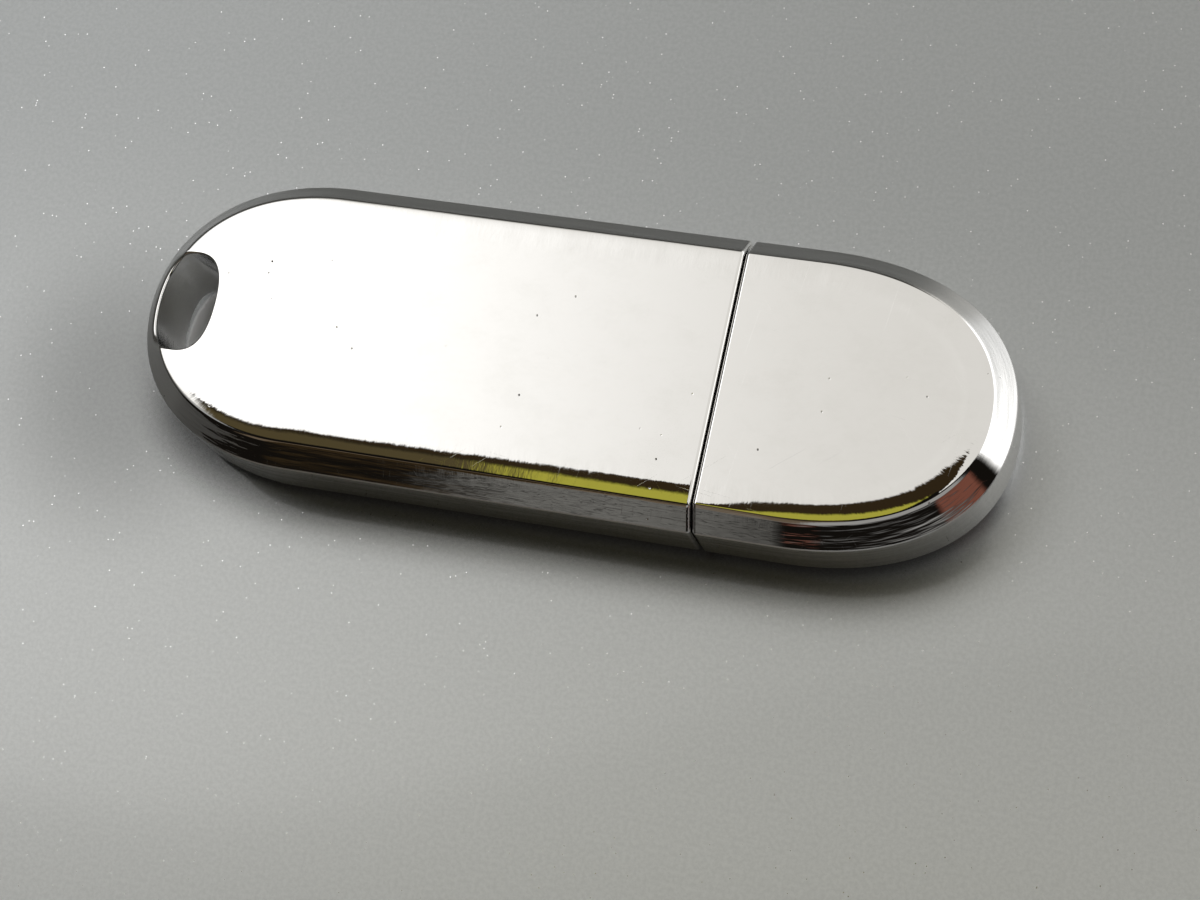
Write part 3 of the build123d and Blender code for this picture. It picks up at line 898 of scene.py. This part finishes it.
def chip_resin():
    """Transfer-moulded epoxy: fine filler grain, a smooth skin and faint flow marks."""
    material, tree, surface, place = new_material("chip_resin")
    grain = noise(tree, place, (0.07,) * 3, 3.0, 0.7)
    flow = noise(tree, place, (5.0, 1.4, 2.0), 4.0, 0.6, turn=24)
    filler = pits(tree, place, 0.22, 0.028, 0.3)
    normal = bump(tree, grain, 0.003, soft_edges(tree, 0.04))
    colour = mix(tree, flow, (0.020, 0.020, 0.022), (0.040, 0.039, 0.041))
    colour = mix(tree, times(tree, filler, 0.5), colour, (0.13, 0.13, 0.13))
    give(surface, tree, colour, ramp(tree, flow, 0.3, 0.7, 0.42, 0.58), normal)
    return material


def bare_metal(name, dark, light, rough, grain_size, depth, stretch=(1.0, 1.0, 1.0)):
    """Plated or soldered metal with a mottled skin, dull spots and fine handling marks."""
    material, tree, surface, place = new_material(name)
    grain = noise(tree, place, [grain_size * s for s in stretch], 4.0, 0.6)
    spots = noise(tree, place, (0.7, 0.7, 0.7), 3.0)
    marks = scratches(tree, place, (12, 83), 2.0, 0.02, 0.08)
    normal = bump(tree, grain, depth, soft_edges(tree, 0.03))
    normal = bump(tree, marks, -0.0006, normal)
    colour = mix(tree, spots, dark, light)
    shade = ramp(tree, grain, 0.3, 0.7, rough[0], rough[1])
    shade = plus(tree, shade, times(tree, marks, 0.1))
    give(surface, tree, colour, shade, normal, 1.0)
    return material


def ceramic(name, dark, light, rough):
    """Matt fired ceramic with a crystalline grain and pin holes."""
    material, tree, surface, place = new_material(name)
    grain = noise(tree, place, (0.06,) * 3, 4.0, 0.7)
    holes = pits(tree, place, 0.3, 0.03, 0.2)
    normal = bump(tree, grain, 0.003, soft_edges(tree, 0.03))
    normal = bump(tree, holes, -0.008, normal)
    colour = mix(tree, grain, dark, light)
    give(surface, tree, colour, ramp(tree, grain, 0.3, 0.7, rough - 0.08, rough + 0.08), normal)
    return material


def two_terminal(name, axis, dark, light, rough):
    """A fired body between tinned ends; axis is the piece's long axis."""
    material, tree, surface, place = new_material(name)
    grain = noise(tree, place, (0.06,) * 3, 4.0, 0.65)
    spots = noise(tree, place, (0.35,) * 3, 3.0)
    along = minus(tree, share_along(tree, axis), 0.5)
    uneven = times(tree, minus(tree, spots, 0.5), 0.05)
    reach = plus(tree, math_node(tree, "ABSOLUTE", along), uneven)
    tinned = ramp(tree, reach, 0.5 - terminal_share - 0.01, 0.5 - terminal_share + 0.01)
    fired = mix(tree, grain, dark, light)
    tin_colour = mix(tree, spots, (0.56, 0.555, 0.54), (0.74, 0.735, 0.72))
    normal = bump(tree, grain, 0.004, soft_edges(tree, 0.05))
    body_rough = ramp(tree, grain, 0.3, 0.7, rough - 0.07, rough + 0.07)
    shade = add_node(
        tree, "ShaderNodeMapRange",
        {0: tinned, 1: 0.0, 2: 1.0, 3: body_rough, 4: ramp(tree, spots, 0.3, 0.7, 0.26, 0.42)},
    ).outputs[0]
    give(surface, tree, mix(tree, tinned, fired, tin_colour), shade, normal, tinned)
    return material


terminal_share = 0.22
turned_parts = ("capacitor_bulk", "ferrite_bead", "resistor_reset")

case_plastic = moulded_plastic("black_plastic", (0.018, 0.018, 0.019), (0.034, 0.034, 0.035), 0.50)
plug_plastic = moulded_plastic("plug_plastic", (0.024, 0.024, 0.026), (0.048, 0.048, 0.052), 0.44)
gold = contact_gold()
steel = plug_steel()
board_green = board_laminate()
resin = chip_resin()
tin = bare_metal("lead_tin", (0.54, 0.54, 0.53), (0.72, 0.715, 0.70), (0.30, 0.46), 0.08, 0.003)
solder = bare_metal("solder", (0.62, 0.62, 0.61), (0.80, 0.795, 0.785), (0.12, 0.26), 0.25, 0.015)
lid_nickel = bare_metal(
    "crystal_metal", (0.62, 0.60, 0.56), (0.75, 0.735, 0.70), (0.22, 0.36), 0.05, 0.0015, (30, 1, 1)
)
fired_brown = ceramic("crystal_ceramic", (0.15, 0.11, 0.08), (0.26, 0.20, 0.155), 0.62)
capacitor_looks = [
    two_terminal(name, axis, (0.40, 0.27, 0.16), (0.58, 0.43, 0.29), 0.5)
    for name, axis in (("capacitor_body", 0), ("capacitor_body_turned", 1))
]
ferrite_look = two_terminal("ferrite_body", 1, (0.06, 0.06, 0.066), (0.13, 0.13, 0.14), 0.5)
resistor_looks = [
    two_terminal(name, axis, (0.012, 0.012, 0.016), (0.03, 0.03, 0.036), 0.22)
    for name, axis in (("resistor_body", 0), ("resistor_body_turned", 1))
]


def look_of(name):
    """The finish of a CAD node, from its name."""
    turned = int(name in turned_parts)
    if name.startswith("capacitor_"):
        return capacitor_looks[turned]
    if name.startswith("resistor_"):
        return resistor_looks[turned]
    if name.startswith("contact_"):
        return gold
    if name.endswith("_chip"):
        return resin
    if name.endswith("_leads"):
        return tin
    return {
        "cap_liner": case_plastic,
        "inner_case_lower": case_plastic,
        "inner_case_upper": case_plastic,
        "circuit_board": board_green,
        "usb_shell": steel,
        "usb_insulator": plug_plastic,
        "crystal_base": fired_brown,
        "crystal_lid": lid_nickel,
        "ferrite_bead": ferrite_look,
        "solder_joints": solder,
    }[name]


body_piece = build_shell(body, "body_shell", chrome())
cap_piece = build_shell(cap, "cap_shell", body_piece.data.materials[0])
for name, cad_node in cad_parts.items():
    if name not in ("body_shell", "cap_shell"):
        cad_node.data.materials.clear()
        cad_node.data.materials.append(look_of(name))

# --- floor --------------------------------------------------------------------------------------
floor_reach = 0.6
floor_z = cad_low.z - 0.01 * mm
shadow_reach = 5 * mm
tail_shadow_centre = (body_low.x / mm - 3, -5)
floor_corners = ((-1, -1), (1, -1), (1, 1), (-1, 1))
floor_mesh = bpy.data.meshes.new("floor")
floor_mesh.from_pydata(
    [(x * floor_reach, y * floor_reach, floor_z) for x, y in floor_corners], [], [(0, 1, 2, 3)]
)
floor = bpy.data.objects.new("floor", floor_mesh)
bpy.context.scene.collection.objects.link(floor)


def round_share(tree, place, centre, radii, fade):
    """1 inside an ellipse on the floor, falling to 0 at fade times its radii (millimetres)."""
    moved = add_node(
        tree, "ShaderNodeVectorMath", {0: place, 1: (*centre, floor_z / mm)}, operation="SUBTRACT"
    ).outputs[0]
    far = add_node(
        tree, "ShaderNodeVectorMath", {0: stretched(tree, moved, (*radii, 1000.0))},
        operation="LENGTH",
    ).outputs["Value"]
    return ramp(tree, far, 1.0, fade, 1.0, 0.0)


def floor_finish():
    """Grey table top with a fine glint under a clear coat, with painted light that makes it paler
    towards the near side, a painted shadow and a painted pool of light under the key-ring hole.
    """
    material, tree, surface, place = new_material("floor")
    # Painted light: the floor's colour grows paler towards the near side, standing in for the fall of
    # the light.
    near = ramp(tree, part_of(tree, place, 1), -34, 22, 1.0, 0.0)
    grain = noise(tree, place, (0.28, 0.28, 0.28), 3.0, 0.6)
    specks = pits(tree, place, 0.34, 0.075, 0.10)
    grain_share = ramp(tree, grain, 0.3, 0.7)
    shaded_far_tint = mix(tree, grain_share, (0.415, 0.43, 0.435), (0.46, 0.475, 0.48))
    lit_near_tint = mix(tree, grain_share, (0.72, 0.735, 0.74), (0.79, 0.805, 0.81))
    tint = mix(tree, near, shaded_far_tint, lit_near_tint)
    tint = mix(tree, specks, tint, (1.0, 1.0, 1.0))

    # Painted shadow: the floor's colour is darkened on the near side and beyond the tail, away from the
    # light.
    light_side = add_node(tree, "ShaderNodeCombineXYZ", {0: 0.25, 1: 0.5, 2: 0.8}).outputs[0]
    open_share = add_node(
        tree, "ShaderNodeAmbientOcclusion", {"Distance": shadow_reach, "Normal": light_side}, samples=8
    ).outputs["AO"]
    lit = ramp(tree, open_share, 0.25, 0.85, 0.08, 1.0)
    tail_shadow = round_share(tree, place, tail_shadow_centre, (2.0, 2.0), 7.0)
    lit = minus(tree, lit, times(tree, tail_shadow, 0.36))
    tint = mix(tree, lit, (0, 0, 0), tint)

    # Painted light: under the key-ring hole the floor is plain and pale, standing in for the light that
    # falls through it.
    hole_x = (body_low.x + keyring_centre) / mm
    painted_light_under_hole = round_share(tree, place, (hole_x, 0), (2.2, 3.5), 1.15)
    tint = mix(tree, painted_light_under_hole, tint, (0.97, 0.97, 0.97))
    metal = ramp(tree, painted_light_under_hole, 0.0, 1.0, 0.9, 0.0)
    rough = ramp(tree, specks, 0.1, 0.6, 0.42, 0.16)
    give(surface, tree, tint, rough, bump(tree, grain, 0.004), metal)
    surface.inputs["Coat Weight"].default_value = 0.7
    surface.inputs["Coat Roughness"].default_value = 0.06
    return material


floor_mesh.materials.append(floor_finish())

# --- light: a plain soft room, bright overhead and beyond the nose, dark on the near side ---------
world = bpy.data.worlds.new("studio")
world.use_nodes = True
bpy.context.scene.world = world
sky = world.node_tree
direction = sky.nodes.new("ShaderNodeTexCoord").outputs["Generated"]
sky_x, sky_y, sky_z = add_node(sky, "ShaderNodeSeparateXYZ", {0: direction}).outputs
to_degrees = math.degrees(1)
azimuth_of = times(sky, math_node(sky, "ARCTAN2", sky_y, sky_x), to_degrees)
height_of = times(sky, math_node(sky, "ARCSINE", sky_z), to_degrees)
tilt_x = times(sky, sky_x, to_degrees)
tilt_y = times(sky, sky_y, to_degrees)


def patch_of_sky(azimuths, heights, soft_azimuth, soft_height):
    """1 over a patch given by its limits in degrees."""
    across = between(sky, azimuth_of, *azimuths, soft_azimuth)
    return times(sky, across, between(sky, height_of, *heights, soft_height))


def patch_overhead(x_limits, y_limits, soft):
    """1 over a patch near the zenith, in degrees of tilt along X and Y."""
    share = times(sky, between(sky, tilt_x, *x_limits, soft), between(sky, tilt_y, *y_limits, soft))
    return times(sky, share, ramp(sky, sky_z, 0.2, 0.5))


pale = (0.755, 0.74, 0.705)
bright = (1.8, 1.8, 1.79)
window_white = (1.6, 1.6, 1.59)
side_white = (0.36, 0.36, 0.35)
wall_grey = (0.048, 0.047, 0.043)
room_dark = (0.006, 0.005, 0.004)
soft_fill = (0.30, 0.295, 0.285)
tan = (0.12, 0.09, 0.06)
red_brown = (0.17, 0.062, 0.042)
yellow_green = (0.38, 0.355, 0.05)
olive = (0.075, 0.058, 0.026)
brown = (0.028, 0.018, 0.008)
ground_grey = (0.15, 0.147, 0.137)

# Everything starts pale. Overhead towards the tail is a bright ceiling and beyond the nose a low
# window; low walls on the far side and beyond the tail are grey.
ceiling = times(sky, between(sky, tilt_x, -32, -31.9, 24), between(sky, tilt_y, 10, 27, 11))
sky_colour = mix(sky, ceiling, pale, bright)
sky_colour = mix(sky, patch_of_sky((-181, -150), (-60, 60), 8, 14), sky_colour, side_white)
sky_colour = mix(sky, patch_of_sky((0, 64), (-60, 20), 10, 11), sky_colour, window_white)
sky_colour = mix(sky, patch_of_sky((90, 181), (-60, 36), 12, 12), sky_colour, wall_grey)
sky_colour = mix(sky, patch_of_sky((-181, -150), (-60, 40), 2, 14), sky_colour, wall_grey)

# The dark side of the room: everything on the near side of an uneven line past the zenith.
line = ramp(sky, tilt_x, -24, -3, 5.5, 13.0)
line = minus(sky, line, ramp(sky, tilt_x, 1, 9, 0.0, 14.0))
past_line = ramp(sky, minus(sky, line, tilt_y), -0.5, 0.5)
dark_side = times(sky, past_line, patch_of_sky((-152, -8), (-90, 90), 8, 1))
near_zenith = ramp(sky, sky_z, 0.83, 0.87)
over_line = times(sky, past_line, near_zenith)
over_line = times(sky, over_line, ramp(sky, tilt_x, -31, -27))
dark_share = math_node(sky, "MAXIMUM", dark_side, over_line)

# What stands on the dark side: a soft fill, furniture colours and the near table's edge.
room = mix(sky, patch_of_sky((-112, -30), (18, 50), 14, 9), room_dark, soft_fill)
room = mix(sky, patch_of_sky((-126, -98), (19, 70), 5, 10), room, tan)
room = mix(sky, patch_of_sky((-116, -109), (12, 72), 3, 8), room, brown)
room = mix(sky, patch_of_sky((-42, -20), (-12, 9), 5, 4), room, red_brown)
bands = add_node(sky, "ShaderNodeCombineXYZ", {0: azimuth_of, 1: height_of}).outputs[0]
banding = ramp(sky, noise(sky, bands, (6.25, 1 / 0.75, 1.0), 2.0), 0.36, 0.56, 0.25, 1.0)
near_table = times(sky, between(sky, height_of, -12, 11, 4), banding)
near_table = times(sky, near_table, ramp(sky, azimuth_of, -109.2, -106.8))
near_table = times(sky, near_table, ramp(sky, azimuth_of, -105, -98, 1.0, 0.0))
room = mix(sky, near_table, room, ground_grey)
tongue = times(sky, banding, patch_of_sky((-98, -93), (10, 12), 2.5, 1.5))
room = mix(sky, times(sky, tongue, 0.6), room, red_brown)
room = mix(sky, patch_overhead((-40, 4), (5.5, 20), 1.2), room, brown)
room = mix(sky, patch_overhead((-32, -17), (-1.5, 3.0), 2.5), room, olive)
room = mix(sky, patch_overhead((-15.5, 0), (-3, 3.2), 2.2), room, yellow_green)
sky_colour = mix(sky, dark_share, sky_colour, room)
background = sky.nodes["Background"]
sky.links.new(sky_colour, background.inputs[0])
background.inputs[1].default_value = 1.0

# --- camera: at the photo's angle -----------------------------------------------------------------
camera_data = bpy.data.cameras.new("camera")
camera = bpy.data.objects.new("camera", camera_data)
bpy.context.scene.collection.objects.link(camera)
bpy.context.scene.camera = camera
azimuth = math.radians(44.8)
elevation = math.radians(68.45)
roll = math.radians(-34.1)
distance = 175.9 * mm
aim = Vector((3.52, -5.42, 5.5)) * mm
back = Vector((
    math.sin(azimuth) * math.cos(elevation),
    -math.cos(azimuth) * math.cos(elevation),
    math.sin(elevation),
))
level = Vector((math.cos(azimuth), math.sin(azimuth), 0))
upright = back.cross(level)
right = level * math.cos(roll) + upright * math.sin(roll)
up = upright * math.cos(roll) - level * math.sin(roll)
camera.matrix_world = Matrix((
    (right.x, up.x, back.x, aim.x + back.x * distance),
    (right.y, up.y, back.y, aim.y + back.y * distance),
    (right.z, up.z, back.z, aim.z + back.z * distance),
    (0, 0, 0, 1),
))
camera_data.sensor_width = 36
camera_data.lens = 82.3
camera_data.clip_start = 0.005
camera_data.clip_end = 20

bpy.context.scene.view_settings.view_transform = "Standard"
